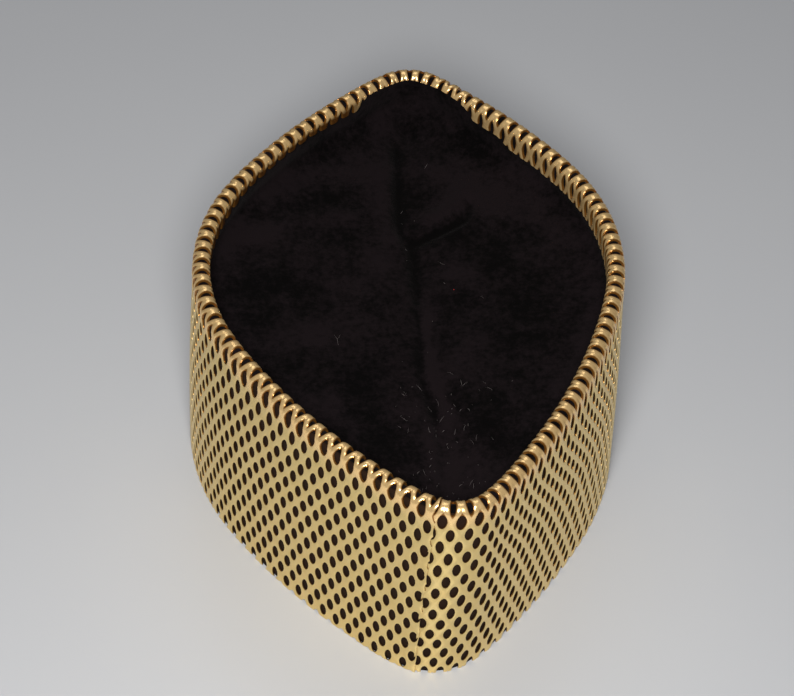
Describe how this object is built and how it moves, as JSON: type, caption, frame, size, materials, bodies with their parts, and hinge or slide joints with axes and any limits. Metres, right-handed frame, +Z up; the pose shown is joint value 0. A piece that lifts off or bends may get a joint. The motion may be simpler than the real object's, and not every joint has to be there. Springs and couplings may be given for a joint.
{
  "type": "velvet cap",
  "caption": "Tall soft cap with a lens-shaped plan, a sunken dark velvet crown and a stiff side wall wrapped in gold perforated net that folds in over the rim.",
  "frame": {"origin": "centre of the box round the cap, on the surface that its open bottom edge stands on", "axes": "+Z up, +Y along the cap from the seamed nose to the far nose, +X across it to the right"},
  "size_m": [0.165, 0.2278, 0.097],
  "materials": {
    "gold_net": "perforated metallic gold sheet, satin on the face and bright on the fold",
    "backing_cloth": "dark stiffened cloth, matt",
    "velvet": "black velvet with a short brushed pile"
  },
  "bodies": {
    "root": {"gold_band": "gold_net", "side_wall": "backing_cloth", "crown_panel": "velvet"}
  },
  "joints": []
}
